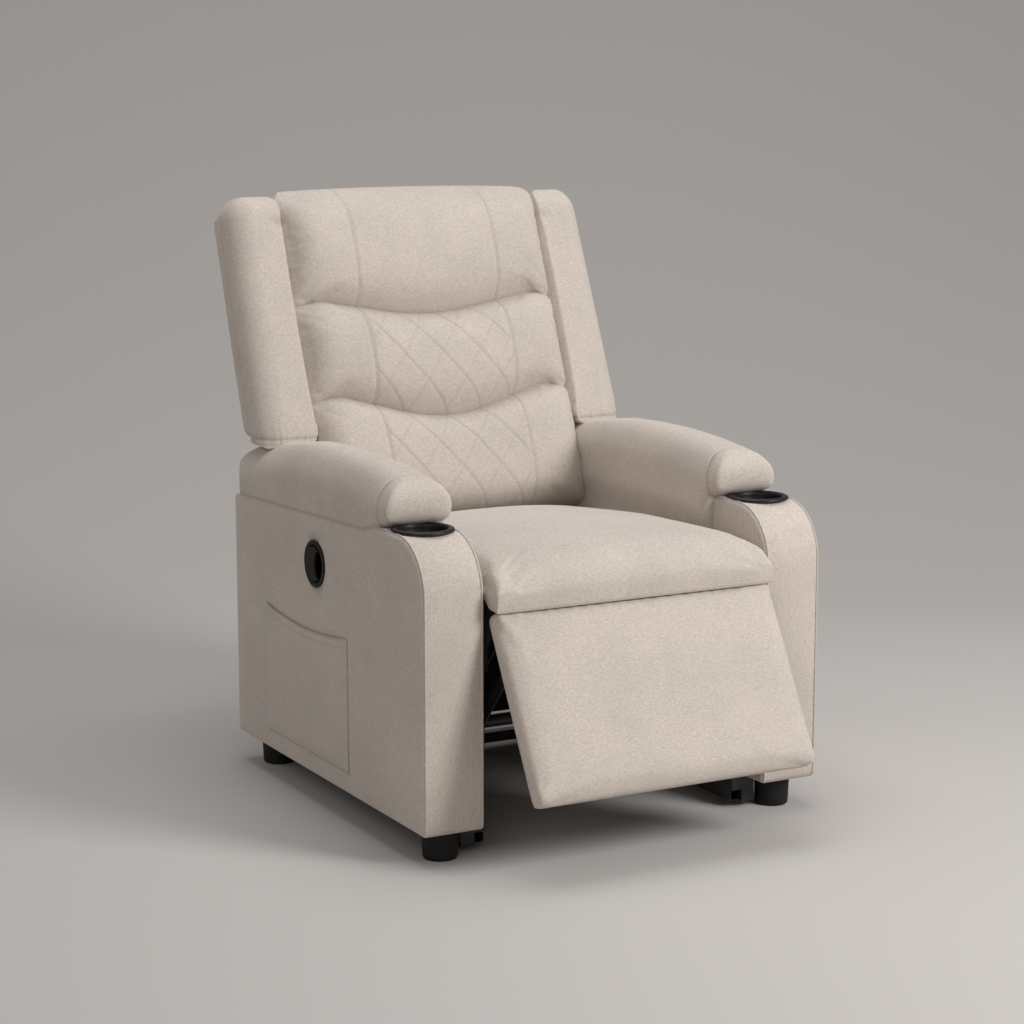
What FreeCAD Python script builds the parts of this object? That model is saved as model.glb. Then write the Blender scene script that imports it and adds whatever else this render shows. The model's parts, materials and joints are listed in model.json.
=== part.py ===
"""Manual recliner armchair: padded arms with cup holders, three-section back pillow,
footrest on a four-link mechanism, pull paddle in the right arm. Millimetres."""
import FreeCAD, Part
import os
from math import sin, cos, tan, radians, degrees, atan2, hypot

V = FreeCAD.Vector
os.makedirs("parts", exist_ok=True)

# ---- driving dimensions. Working frame: x = 0 on the chair's middle plane, y = 0 at the
# front of the arms and growing rearward, z = 0 on the floor. Left and right are the sitter's.
HALF_W = 385.0            # middle plane to the arm's outer face
ARM_W = 113.4             # one arm
ARM_IN = HALF_W - ARM_W   # arm's inner face
ARM_D = 773.0             # arm, front to rear
ARM_BASE = 53.5           # underside of the arm, on the feet
ARM_TOP = 536.0           # flat top at the cup holder
ARM_NOSE_R = 92.0         # rounding from the front post to the top
SEAM_FRONT, SEAM_REAR = (215.0, 525.0), (ARM_D, 505.0)
SKIN = 8.0                # upholstered side board
COVER = 12.0              # front and top cover
CUP_X, CUP_Y = 328.3, 108.0
CUP_BORE_R, CUP_WALL_R, CUP_FLANGE_R = 40.5, 43.0, 52.0
CUP_RIM, CUP_FLOOR = 541.6, 466.0
FOOT_R, FOOT_Y = 31.0, (52.0, 715.0)
FRAME_X = 233.5           # inner face of the seat's side boards
SEAT_HALF = 263.3
BACK_PIVOT = (700.0, 400.0)
BACK_LEAN = 22.0          # degrees from upright
BACK_FOOT = (636.0, 610.0)  # origin of the back's own (up, rearward) frame
BACK_TOP, BACK_THICK = 499.0, 95.0
WING_IN, WING_OUT, WING_TOP = 277.0, 375.0, 462.0
REST_HALF, REST_LEN, REST_PAD, REST_BOARD = 266.0, 323.0, 28.0, 12.0
HANDLE = (408.0, 435.0)   # y, z of the pull handle
POCKET_Y, POCKET_Z = (276.0, 630.0), (89.0, 330.0)

# ---- footrest mechanism: angles in degrees, linear in the travel s from 0 shut to 1 out
TILT_OUT, TILT_NOW = 94.0, 28.6
S_NOW = TILT_NOW / TILT_OUT
P0 = (103.856, 351.331)                    # lift link's pivot
LIFT_L, LIFT_A0, LIFT_DA = 150.564, -122.211, 92.624
UP_L, UP_A0, UP_DA = 153.768, 54.959, -21.022
Q_D, Q_E = 75.573, 85.0                    # bracket pin: down the board, behind its front
STAY_L, STAY_A0, STAY_DA = 153.605, 54.645, -21.080
STAY_ON_LIFT, STAY_OFF, STAY_D, STAY_E = 83.711, 29.793, 4.0, 73.898
P1 = (105.0, 290.905)                      # base link's pivot
BASE_L, BASE_A0, BASE_DA = 132.550, -124.465, 99.628
BASE_ON_UP, BASE_OFF = 32.0, 28.0
PIN_R = 4.0
OPEN_R = 5.4                               # holes of the two open pivots
RUN = 0.05                                 # radial clearance of a running pin
LINK_T = 3.5
LAYER = {"plate": 230.0, "base": 225.5, "lift": 221.0, "upper": 216.5, "stay": 212.0,
         "bracket": 207.5}


# ---- helpers
def box(x0, x1, y0, y1, z0, z1):
    return Part.makeBox(x1 - x0, y1 - y0, z1 - z0, V(x0, y0, z0))


def outline(pts, x):
    """Closed wire in the plane x from (y, z, corner radius) points."""
    n, ends = len(pts), []
    for i in range(n):
        (ay, az), (by, bz), (cy, cz) = pts[i - 1][:2], pts[i][:2], pts[(i + 1) % n][:2]
        r = pts[i][2] if len(pts[i]) > 2 else 0
        if r <= 0:
            ends.append(((by, bz), None, (by, bz)))
            continue
        u = ((ay - by), (az - bz))
        w = ((cy - by), (cz - bz))
        lu, lw = hypot(*u), hypot(*w)
        u, w = (u[0] / lu, u[1] / lu), (w[0] / lw, w[1] / lw)
        half = abs(atan2(u[0] * w[1] - u[1] * w[0], u[0] * w[0] + u[1] * w[1])) / 2
        t = r / tan(half)
        bis = (u[0] + w[0], u[1] + w[1])
        lb = hypot(*bis)
        bis = (bis[0] / lb, bis[1] / lb)
        k = r / sin(half) - r
        ends.append(((by + u[0] * t, bz + u[1] * t), (by + bis[0] * k, bz + bis[1] * k),
                     (by + w[0] * t, bz + w[1] * t)))
    edges = []
    for i in range(n):
        a, m, b = ends[i]
        if m:
            edges.append(Part.Arc(V(x, *a), V(x, *m), V(x, *b)).toShape())
        c = ends[(i + 1) % n][0]
        if hypot(c[0] - b[0], c[1] - b[1]) > 1e-6:
            edges.append(Part.LineSegment(V(x, *b), V(x, *c)).toShape())
    return Part.Wire(edges)


def slab(pts, x0, x1):
    """Solid of a side outline between two x."""
    return Part.Face(outline(pts, x0)).extrude(V(x1 - x0, 0, 0))


def rod(p, x0, x1, r):
    """Cylinder along x at (y, z)."""
    return Part.makeCylinder(r, x1 - x0, V(x0, p[0], p[1]), V(1, 0, 0))


def soften(shape, radius, keep):
    """Fillets the edges that keep() picks; the plain solid stays if they don't take it."""
    edges = [e for e in shape.Edges if keep(e)]
    try:
        out = shape.makeFillet(radius, edges)
        if out.isValid() and out.Volume > 0.5 * shape.Volume:
            return out
    except Exception:
        pass
    print("plain edges kept")
    return shape


def mirror(shape):
    return shape.mirror(V(0, 0, 0), V(1, 0, 0))


def unit(angle):
    a = radians(angle)
    return -cos(a), sin(a)


def side_of(angle):
    a = radians(angle)
    return -sin(a), -cos(a)


def add(p, *terms):
    y, z = p
    for k, v in terms:
        y, z = y + k * v[0], z + k * v[1]
    return y, z


PARTS = {}


def put(name, shape):
    PARTS[name] = shape


def pair(name, shape):
    """The given solid is the sitter's left (+x); its mirror is the right."""
    PARTS[name + "_left"] = shape
    PARTS[name + "_right"] = mirror(shape)


def both(name, *shapes):
    """Left and right copies of small pieces together in one node."""
    PARTS[name] = Part.Compound([s for one in shapes for s in (one, mirror(one))])


# ---- arms
arm_side = [(0, ARM_BASE), (0, ARM_TOP, ARM_NOSE_R), (172, ARM_TOP, 20), SEAM_FRONT + (20,),
            SEAM_REAR + (5,), (ARM_D, ARM_BASE)]
inner, outer = ARM_IN + SKIN, HALF_W - SKIN
side_board = slab(arm_side, outer, HALF_W)
PARTS["arm_outer_panel_left"] = side_board
PARTS["arm_outer_panel_right"] = mirror(side_board).cut(rod(HANDLE, -HALF_W - 5, -outer + 5, 36.3))
cover = slab([(0, ARM_BASE), (0, ARM_TOP, ARM_NOSE_R), (168, ARM_TOP), (168, ARM_TOP - COVER),
              (COVER, ARM_TOP - COVER, ARM_NOSE_R - COVER), (COVER, ARM_BASE)], inner, outer)
cup_hole = Part.makeCylinder(CUP_WALL_R, 60, V(CUP_X, CUP_Y, 500))
pair("arm_front_cover", cover.cut(cup_hole))
shell = slab(arm_side, ARM_IN, inner).fuse(box(inner, outer, ARM_D - SKIN, ARM_D, ARM_BASE, 503))
pair("arm_inner_shell", shell.removeSplitter())
frame = box(inner, outer, COVER, 30, ARM_BASE, 440)
frame = frame.fuse(box(inner, outer, 30, 747, ARM_BASE, 75))
frame = frame.fuse(box(inner, outer, 747, 765, ARM_BASE, 490))
frame = frame.fuse(slab([(170, 533), SEAM_FRONT, (765, 505.3), (765, 486), (215, 506), (170, 514)],
                        inner, outer))
frame = frame.removeSplitter()
for y in FOOT_Y:
    frame = frame.cut(Part.makeCylinder(4, 40, V(CUP_X, y, 40)))
pair("arm_frame", frame)

pad = slab([(153, 541.8), (151.5, 566, 22), (180, 604, 42), (265, 620, 150), (350, 629, 200),
            (530, 622, 200), (640, 601, 120), (706, 600, 60), (770, 566, 50), (770, 505.4, 4),
            (215, 525.3, 20), (172, 536.2), (164, 541.8)], 266.0, HALF_W - 0.4)
pad = soften(pad, 14, lambda e: e.BoundBox.ZMin > 552 and e.BoundBox.XLength < 0.01
             and e.BoundBox.ZLength + e.BoundBox.YLength > 3)
pad = pad.cut(slab([(164, 490), (164, 541.7), (772, 541.7), (772, 490)], 260, ARM_IN + 0.01))
drape = slab([(166, 478, 12), (166, 541.7), (632, 541.7), (632, 470, 12)], 265.0, ARM_IN)
pair("arm_pad", pad.fuse(drape).removeSplitter())

bore = [(0, CUP_FLOOR - 4), (CUP_WALL_R, CUP_FLOOR - 4), (CUP_WALL_R, ARM_TOP),
        (CUP_FLANGE_R, ARM_TOP), (CUP_FLANGE_R, CUP_RIM - 2), (CUP_FLANGE_R - 2, CUP_RIM),
        (CUP_BORE_R, CUP_RIM), (CUP_BORE_R, CUP_FLOOR), (0, CUP_FLOOR), (0, CUP_FLOOR - 4)]
cup = Part.Face(Part.makePolygon([V(r, 0, z) for r, z in bore])).revolve(V(0, 0, 0), V(0, 0, 1), 360)
cup.translate(V(CUP_X, CUP_Y, 0))
pair("cup_holder", cup)

# ---- hanging pocket on the right arm
(py0, py1), (pz0, pz1) = POCKET_Y, POCKET_Z
hem = box(-HALF_W - 6, -HALF_W, py0, py1, pz0, pz1)
hem = hem.cut(box(-HALF_W - 4.4, -HALF_W + 1, py0 + 8, py1 - 8, pz0 + 8, pz1 + 1))
sag = Part.makeCylinder(1120, 20, V(-HALF_W - 10, (py0 + py1) / 2, pz1 + 1106), V(1, 0, 0))
put("side_pocket", hem.cut(sag))

# ---- feet and base rails
for tag, y in (("front", FOOT_Y[0]), ("rear", FOOT_Y[1])):
    foot = Part.makeCone(FOOT_R - 3, FOOT_R, ARM_BASE, V(CUP_X, y, 0))
    foot = foot.cut(Part.makeCylinder(4, 60, V(CUP_X, y, 14)))
    foot = soften(foot, 2.5, lambda e: abs(e.BoundBox.ZMax) < 0.01 and e.BoundBox.XLength > 40)
    pair("foot_" + tag, foot)
both("foot_bolts", *[Part.makeCylinder(4, 56, V(CUP_X, y, 14)) for y in FOOT_Y])
rail = box(245, 265, 57, 745, 12, 32).cut(box(246.5, 263.5, 50, 750, 13.5, 30.5))
pair("base_rail", rail)
blocks = []
for y in (77.0, 690.0):
    b = box(245, 290, y - 26, y + 26, 32, ARM_BASE).fuse(box(265, 290, y - 26, y + 26, 10, 32))
    blocks.append(b.removeSplitter())
both("rail_brackets", *blocks)
tubes = [box(-245, 245, y, y + 20, 12, 32).cut(box(-246, 246, y + 1.5, y + 18.5, 13.5, 30.5))
         for y in (600.0, 700.0)]
put("base_crossbars", Part.Compound(tubes))

# ---- seat structure
side_rail = slab([(62, 300), (62, 424), (150, 424), (640, 403.8), (745, 403.8), (745, 300)],
                 FRAME_X, ARM_IN)
pair("seat_side_rail", side_rail)
put("seat_front_rail", box(-LAYER["plate"], LAYER["plate"], 188, 208, 300, 421.6))
put("seat_rear_rail", box(-FRAME_X, FRAME_X, 622, 640, 300, 404))
bands = None
for x in (-200, -100, 0, 100, 200):
    b = slab([(188, 422.5), (640, 404.2), (640, 406.2), (188, 424.5)], x - 28, x + 28)
    bands = b if bands is None else bands.fuse(b)
put("seat_webbing", bands)
put("dust_cover", box(-200, 200, 188, 640, 298, 300))
put("rear_dust_cloth", box(-FRAME_X, FRAME_X, 640, 642, 60, 403))
cushion = slab([(-6, 428, 8), (-33, 441, 14), (-33, 493, 34), (290, 496, 400), (556, 474, 30),
                (569, 446, 8), (640, 420, 5), (640, 407.2), (188, 425.5), (184, 436, 3),
                (34, 436, 6), (22, 428, 6)], -SEAT_HALF, SEAT_HALF)
cushion = soften(cushion, 16, lambda e: e.BoundBox.ZMax > 470 and e.BoundBox.XLength < 0.01
                 and e.BoundBox.ZMin > 450)
put("seat_cushion", cushion)

# ---- back: (up, rearward) frame leaning with the back
lean = radians(BACK_LEAN)
UPV, REARV = (sin(lean), cos(lean)), (cos(lean), -sin(lean))


def bk(v, w, r=0):
    return add(BACK_FOOT, (v, UPV), (w, REARV)) + (r,)


def back_slab(v0, v1, w0, w1, x0, x1, r=(0, 0, 0, 0)):
    return slab([bk(v0, w0, r[0]), bk(v1, w0, r[1]), bk(v1, w1, r[2]), bk(v0, w1, r[3])], x0, x1)


def long_edges(e):
    return e.BoundBox.XLength < 0.01 and e.Length > 12


lumbar = back_slab(-155, 66, 0, 61, -258, 258, (26, 16, 6, 20))
mid = back_slab(68, 254, 0, 61, -272, 272, (18, 18, 6, 6))
head = back_slab(256, BACK_TOP, 0, 61, -272, 272, (18, 30, 16, 6))
put("lumbar_cushion", soften(lumbar, 6, long_edges))
put("mid_cushion", soften(mid, 6, long_edges))
put("head_cushion", soften(head, 6, long_edges))
WING_CUT = 614.0


def at_cut(w):
    """Point on the wing's level underside at depth w."""
    v = (WING_CUT - BACK_FOOT[1] - w * REARV[1]) / UPV[1]
    return add(BACK_FOOT, (v, UPV), (w, REARV))


wing = slab([at_cut(0) + (14,), bk(WING_TOP, 0, 30), bk(WING_TOP, 63, 10), at_cut(63) + (5,)],
            WING_IN, WING_OUT)
pair("wing", soften(wing, 5, long_edges))
post = back_slab(-148, 440, 64, 88, 228, 254)
bframe = post.fuse(mirror(post))
for v0, v1 in ((-148, -100), (40, 80), (395, 440)):
    bframe = bframe.fuse(back_slab(v0, v1, 64, 88, -228, 228))
ear = slab([at_cut(64), bk(440, 64), bk(440, 88), at_cut(88)], 254, 368)
bframe = bframe.fuse(ear).fuse(mirror(ear))
webs = None
for v in (-60, 0, 120, 190, 260, 330):
    b = back_slab(v, v + 45, 61.5, 63.5, -254, 254)
    webs = b if webs is None else webs.fuse(b)
put("back_webbing", webs)
rear = slab([at_cut(88.2), bk(452, 88.2), bk(452, BACK_THICK), at_cut(BACK_THICK)],
            -WING_OUT, WING_OUT)
rear = rear.fuse(back_slab(-94, 60, 88.2, BACK_THICK, -258, 258))
rear = rear.fuse(back_slab(440, BACK_TOP - 8, 88.2, BACK_THICK, -270, 270))
put("back_rear_panel", rear.removeSplitter())
by, bz = BACK_PIVOT
foot_plate = slab([(by - 40, 318), (by - 40, 424, 10), (by + 20, 424, 14), (by + 36, 370, 14),
                   (by + 36, 318)], 228.0, FRAME_X)
both("back_mount_plates", foot_plate.cut(rod(BACK_PIVOT, 220, 240, 6)))
hinge = slab([(by + 16, bz - 12, 12), (by - 20, bz - 14, 12), bk(-140, 66, 0), bk(40, 66, 6),
              bk(40, 86, 6), bk(-100, 86, 30), (by + 18, bz + 10, 14)], 222.0, 227.5)
bframe = bframe.removeSplitter().cut(hinge).cut(mirror(hinge))
put("back_frame", bframe)
pair("back_hinge_plate", hinge.cut(rod(BACK_PIVOT, 215, 235, 6 + RUN)))
pivot_pin = rod(BACK_PIVOT, 218, FRAME_X, 6).fuse(rod(BACK_PIVOT, 216, 221.5, 10))
both("back_pivot_pins", pivot_pin)

# ---- footrest mechanism at the stored travel
a, b, t1, t2 = (LIFT_A0 + LIFT_DA * S_NOW, UP_A0 + UP_DA * S_NOW,
                STAY_A0 + STAY_DA * S_NOW, BASE_A0 + BASE_DA * S_NOW)
X = add(P0, (LIFT_L, unit(a)))
Q = add(X, (UP_L, unit(b)))
beta = radians(TILT_NOW)
DOWN, FRONT = (-sin(beta), -cos(beta)), (-cos(beta), sin(beta))
TOP = add(Q, (-Q_D, DOWN), (Q_E, FRONT))
S = add(P0, (STAY_ON_LIFT, unit(a)), (STAY_OFF, side_of(a)))
QS = add(TOP, (STAY_D, DOWN), (-STAY_E, FRONT))
S_END = add(S, (STAY_L, unit(t1)))
B1 = add(X, (-BASE_ON_UP, unit(b)), (BASE_OFF, side_of(b)))
B_END = add(P1, (BASE_L, unit(t2)))
print("pivots P0 %s P1 %s X %s Q %s S %s QS %s B1 %s TOP %s" % tuple(
    tuple(round(c, 2) for c in p) for p in (P0, P1, X, Q, S, QS, B1, TOP)))
print("open pivots miss by %.2f and %.2f mm" % (
    hypot(S_END[0] - QS[0], S_END[1] - QS[1]), hypot(B_END[0] - B1[0], B_END[1] - B1[1])))


def bar(p, q, layer, r=10.0):
    """Flat link with round ends between two pivots."""
    x0 = LAYER[layer]
    dy, dz = q[0] - p[0], q[1] - p[1]
    k = hypot(dy, dz)
    ny, nz = -dz / k * r, dy / k * r
    mid = Part.Face(Part.makePolygon([V(x0, p[0] + ny, p[1] + nz), V(x0, q[0] + ny, q[1] + nz),
                                      V(x0, q[0] - ny, q[1] - nz), V(x0, p[0] - ny, p[1] - nz),
                                      V(x0, p[0] + ny, p[1] + nz)])).extrude(V(LINK_T, 0, 0))
    return mid.fuse(rod(p, x0, x0 + LINK_T, r)).fuse(rod(q, x0, x0 + LINK_T, r)).removeSplitter()


def drill(shape, p, r):
    return shape.cut(rod(p, 190, 260, r))


plate = slab([(88, 274, 12), (88, 372, 10), (150, 398, 10), (380, 398, 10), (380, 350, 10),
              (160, 320, 20), (124, 274, 12)], LAYER["plate"], FRAME_X)
both("mech_side_plates", drill(drill(plate, P0, PIN_R), P1, PIN_R))
both("mech_fixed_pins", rod(P0, LAYER["lift"] - 0.3, FRAME_X, PIN_R),
     rod(P1, LAYER["base"] - 0.3, FRAME_X, PIN_R))
lift = bar(P0, X, "lift", 11).fuse(bar(add(P0, (STAY_ON_LIFT, unit(a))), S, "lift", 10))
lift = drill(drill(drill(lift.removeSplitter(), P0, PIN_R + RUN), X, PIN_R), S, PIN_R)
both("lift_links", lift)
both("lift_pins", rod(X, LAYER["upper"] - 0.4, LAYER["lift"] + LINK_T, PIN_R),
     rod(S, LAYER["stay"] - 0.4, LAYER["lift"] + LINK_T, PIN_R))
upper = bar(X, Q, "upper").fuse(bar(X, B1, "upper", 9))
upper = drill(drill(drill(upper.removeSplitter(), X, PIN_R + RUN), Q, PIN_R + RUN), B1, PIN_R)
both("upper_links", upper)
both("upper_pins", rod(B1, LAYER["upper"], LAYER["base"] + LINK_T, PIN_R))
cross = rod(X, -LAYER["upper"], LAYER["upper"], 9).cut(rod(X, -250, 250, 7))
put("cross_tube", cross)
stay = drill(drill(bar(S, S_END, "stay", 8), S, PIN_R + RUN), S_END, OPEN_R)
both("stay_links", stay)
basel = drill(drill(bar(P1, B_END, "base", 9), P1, PIN_R + RUN), B_END, OPEN_R)
both("base_links", basel)


def fr(d, e, r=0):
    """Point on the footrest: d down its board, e behind its front face."""
    return add(TOP, (d, DOWN), (-e, FRONT)) + (r,)


bx = LAYER["bracket"]
web = slab([fr(2, 40, 0), fr(-3, STAY_E + 6, 8), fr(20, Q_E + 8, 12), fr(Q_D + 6, Q_E + 8, 12),
            fr(Q_D + 14, Q_E - 12, 12), fr(118, 40, 0)], bx, bx + LINK_T)
web = web.fuse(slab([fr(2, 40), fr(2, 43), fr(118, 43), fr(118, 40)], bx - 22, bx + LINK_T))
both("footrest_brackets", drill(drill(web.removeSplitter(), Q, PIN_R), QS, PIN_R))
both("bracket_pins", rod(Q, bx - 1, LAYER["upper"] + LINK_T, PIN_R),
     rod(QS, bx - 1, LAYER["stay"] + LINK_T, PIN_R))
put("footrest_board", slab([fr(8, 28.0), fr(REST_LEN - 8, 28.0), fr(REST_LEN - 8, 40),
                            fr(8, 40)], -255, 255))
rest = slab([fr(0, 0, 12), fr(REST_LEN, 0, 12), fr(REST_LEN, REST_PAD, 4), fr(0, REST_PAD, 4)],
            -REST_HALF, REST_HALF)
put("footrest_pad", soften(rest, 6, long_edges))

# ---- pull handle in the right arm: bezel cup, hinged paddle on an upright pin
hy, hz = HANDLE
face = -HALF_W
bezel = rod(HANDLE, face - 4, face, 41).fuse(rod(HANDLE, face, face + 26, 36))
bezel = bezel.cut(rod(HANDLE, face - 5, face + 23, 33.5))
PIN_Y, PIN_X = hy + 22.0, face + 6.0
for z0, z1 in ((hz - 24, hz - 17.5), (hz + 17.5, hz + 24)):
    bezel = bezel.fuse(box(PIN_X - 3.5, face + 23, PIN_Y - 4, PIN_Y + 4, z0, z1))
upright = Part.makeCylinder(2, 48, V(PIN_X, PIN_Y, hz - 24))
put("handle_bezel", bezel.cut(upright))
put("paddle_pin", upright)
disc = rod(HANDLE, face - 6, face - 2, 30.5)
disc = disc.cut(rod((hy - 34, hz), face - 10, face + 5, 30))
knuckle = Part.makeCylinder(4, 34, V(PIN_X, PIN_Y, hz - 17))
knuckle = knuckle.fuse(box(face - 3, PIN_X, PIN_Y - 4, PIN_Y + 4, hz - 17, hz + 17))
put("release_paddle", disc.fuse(knuckle).cut(
    Part.makeCylinder(2 + RUN, 70, V(PIN_X, PIN_Y, hz - 35))).removeSplitter())

# ---- to the part's own frame: bottom centre of the bounding box
boxes = [s.optimalBoundingBox(False, False) for s in PARTS.values()]
lo = V(min(b.XMin for b in boxes), min(b.YMin for b in boxes), 0)
hi = V(max(b.XMax for b in boxes), max(b.YMax for b in boxes), max(b.ZMax for b in boxes))
SHIFT = V(-(lo.x + hi.x) / 2, -(lo.y + hi.y) / 2, 0)
print("shift", round(SHIFT.x, 3), round(SHIFT.y, 3), "size", [round(c, 2) for c in (hi - lo)])
for name, shape in sorted(PARTS.items()):
    if shape.ShapeType != "Solid" and len(shape.Solids) == 1:
        shape = shape.Solids[0]
    shape = shape.copy()
    shape.translate(SHIFT)
    if not shape.isValid() or not shape.Solids or shape.Volume <= 0:
        print("CHECK", name, shape.ShapeType, shape.isValid(), shape.Volume)
    shape.exportStep("parts/%s.step" % name)
print(len(PARTS), "nodes")
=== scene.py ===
import json
from math import sin, cos, tan, radians, pi, atan2, hypot
import bpy, bmesh
import numpy as np
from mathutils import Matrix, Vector


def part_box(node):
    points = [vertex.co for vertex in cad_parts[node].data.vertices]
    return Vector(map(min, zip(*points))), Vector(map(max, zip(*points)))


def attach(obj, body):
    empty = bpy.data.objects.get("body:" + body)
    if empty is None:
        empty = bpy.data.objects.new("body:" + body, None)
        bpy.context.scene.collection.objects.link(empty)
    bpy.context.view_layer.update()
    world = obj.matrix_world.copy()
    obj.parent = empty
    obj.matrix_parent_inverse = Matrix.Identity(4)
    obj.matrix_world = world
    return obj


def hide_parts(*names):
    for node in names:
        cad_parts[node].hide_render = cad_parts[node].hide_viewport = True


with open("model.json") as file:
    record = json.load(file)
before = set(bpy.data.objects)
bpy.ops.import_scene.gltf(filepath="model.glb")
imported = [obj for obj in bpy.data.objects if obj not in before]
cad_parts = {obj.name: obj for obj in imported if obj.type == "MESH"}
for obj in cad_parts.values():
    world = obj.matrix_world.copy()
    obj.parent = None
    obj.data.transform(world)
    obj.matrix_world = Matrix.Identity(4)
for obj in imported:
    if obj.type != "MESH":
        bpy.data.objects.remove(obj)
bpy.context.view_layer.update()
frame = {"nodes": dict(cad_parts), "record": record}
scene = bpy.context.scene
NODES = frame["nodes"]

# ---- the chair's working frame, mm: x from the middle plane, y from the arms' front, z up
arm_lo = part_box("arm_outer_panel_left")[0]
seat_lo, seat_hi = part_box("seat_cushion")
OFF = np.array([(seat_lo.x + seat_hi.x) / 2, arm_lo.y, 0.0]) * 1000
HALF_W, ARM_IN, ARM_D = 385.0, 271.6, 773.0     # arm's outer face, inner face, depth
ARM_BASE, ARM_TOP = 53.5, 536.0
CUP, CUP_CUT = (328.3, 108.0), 43.6             # cup holder's place and the hole for it
HANDLE, HANDLE_CUT = (-HALF_W, 408, 435), 36.6  # pull handle's place and the hole for it
FOOT_Y = (("front", 52.0), ("rear", 715.0))
LEAN = radians(22)                              # back from upright
UPV, REARV = np.array([sin(LEAN), cos(LEAN)]), np.array([cos(LEAN), -sin(LEAN)])
BACK_FOOT = np.array([636.0, 610.0])            # (y, z) that the back is measured from
TILT = radians(28.6)                            # footrest from upright
REST_TOP = np.array([-25.78, 423.46])           # (y, z) of the footrest's top edge
DOWN, FRONT = np.array([-sin(TILT), -cos(TILT)]), np.array([-cos(TILT), sin(TILT)])
REST_LEN = 323.0


def bk(v, w, r=None):
    """(y, z) at v up and w rearward on the back, with a corner radius if one is given."""
    q = BACK_FOOT + v * UPV + w * REARV
    return q if r is None else tuple(q) + (r,)


def fr(d, e, r):
    """(y, z, corner radius) at d down and e behind the footrest's face."""
    return tuple(REST_TOP + d * DOWN - e * FRONT) + (r,)


# ---- mesh helpers
def rounded(pts, steps=7):
    """Closed polyline from (a, b, corner radius) points."""
    out, n = [], len(pts)
    for i in range(n):
        p, q, s = (np.array(pts[k % n][:2], float) for k in (i - 1, i, i + 1))
        r = pts[i][2] if len(pts[i]) > 2 else 0
        if r <= 0:
            out.append(q)
            continue
        u, w = (p - q) / np.linalg.norm(p - q), (s - q) / np.linalg.norm(s - q)
        half = abs(atan2(u[0] * w[1] - u[1] * w[0], u @ w)) / 2
        t = r / tan(half)
        c = q + (u + w) / np.linalg.norm(u + w) * r / sin(half)
        a, b = q + u * t - c, q + w * t - c
        for k in range(steps + 1):
            d = a * (1 - k / steps) + b * (k / steps)
            out.append(c + d / np.linalg.norm(d) * r)
    return np.array(out)


def resample(pts, step):
    """Even points along a closed polyline."""
    p = np.vstack([pts, pts[:1]])
    seg = np.hypot(*np.diff(p, axis=0).T)
    s = np.concatenate([[0], np.cumsum(seg)])
    n = max(8, int(s[-1] / step))
    t = np.linspace(0, s[-1], n, endpoint=False)
    return np.stack([np.interp(t, s, p[:, k]) for k in range(2)], 1)


def area(p):
    return 0.5 * np.sum(p[:, 0] * np.roll(p[:, 1], -1) - np.roll(p[:, 0], -1) * p[:, 1])


def inward(p):
    """Unit normals of a closed polyline, pointing in."""
    d = np.roll(p, -1, 0) - np.roll(p, 1, 0)
    d /= np.linalg.norm(d, axis=1)[:, None] + 1e-9
    n = np.stack([-d[:, 1], d[:, 0]], 1)
    return n if area(p) > 0 else -n


def ring(base, nxt, m):
    """Quads between two rings of m points each."""
    return [(base + j, base + (j + 1) % m, nxt + (j + 1) % m, nxt + j) for j in range(m)]


def make(name, verts, faces):
    """Mesh object from working-frame mm."""
    me = bpy.data.meshes.new(name)
    me.from_pydata([tuple(c) for c in (np.asarray(verts, float) + OFF) / 1000], [], faces)
    me.update()
    ob = bpy.data.objects.new(name, me)
    scene.collection.objects.link(ob)
    bm = bmesh.new()
    bm.from_mesh(me)
    bmesh.ops.recalc_face_normals(bm, faces=bm.faces)
    bm.to_mesh(me)
    bm.free()
    return ob


def co_of(ob):
    c = np.empty(len(ob.data.vertices) * 3)
    ob.data.vertices.foreach_get("co", c)
    return c.reshape(-1, 3) * 1000 - OFF


def set_co(ob, c):
    ob.data.vertices.foreach_set("co", ((c + OFF) / 1000).ravel())
    ob.data.update()


def normals_of(ob):
    n = np.empty(len(ob.data.vertices) * 3)
    ob.data.vertices.foreach_get("normal", n)
    return n.reshape(-1, 3)


def bake(ob):
    """Applies the modifiers."""
    dg = bpy.context.evaluated_depsgraph_get()
    me = bpy.data.meshes.new_from_object(ob.evaluated_get(dg))
    ob.modifiers.clear()
    old, ob.data = ob.data, me
    bpy.data.meshes.remove(old)
    return ob


def bolster(name, prof, x0, x1, r0, r1=None, step=9.0):
    """Closed form: a side outline drawn out along x with rounded ends."""
    r1 = r0 if r1 is None else r1
    p = resample(rounded(prof), step)
    nrm = inward(p)
    xs, ins = [], []
    for k in np.linspace(0, pi / 2, 6):
        xs.append(x0 + r0 * (1 - sin(k))), ins.append(r0 * (1 - cos(k)))
    xs, ins = xs[::-1], ins[::-1]
    n = max(2, int((x1 - x0 - r0 - r1) / 30))
    for k in range(1, n):
        xs.append(x0 + r0 + (x1 - x0 - r0 - r1) * k / n), ins.append(0)
    for k in np.linspace(0, pi / 2, 6):
        xs.append(x1 - r1 * (1 - sin(k))), ins.append(r1 * (1 - cos(k)))
    m, verts, faces = len(p), [], []
    for x, d in zip(xs, ins):
        q = p + nrm * d * 0.98
        verts += [(x, a, b) for a, b in q]
    for i in range(len(xs) - 1):
        faces += ring(i * m, (i + 1) * m, m)
    faces += [tuple(range(m))[::-1], tuple(range((len(xs) - 1) * m, len(xs) * m))]
    return make(name, verts, faces)


def remesh(ob, voxel, smooth):
    """Even skin of voxel mm, with some smoothing passes."""
    m = ob.modifiers.new("r", "REMESH")
    m.mode, m.voxel_size, m.use_smooth_shade = "VOXEL", voxel / 1000, True
    s = ob.modifiers.new("s", "SMOOTH")
    s.factor, s.iterations = 0.5, smooth
    return bake(ob)


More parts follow.
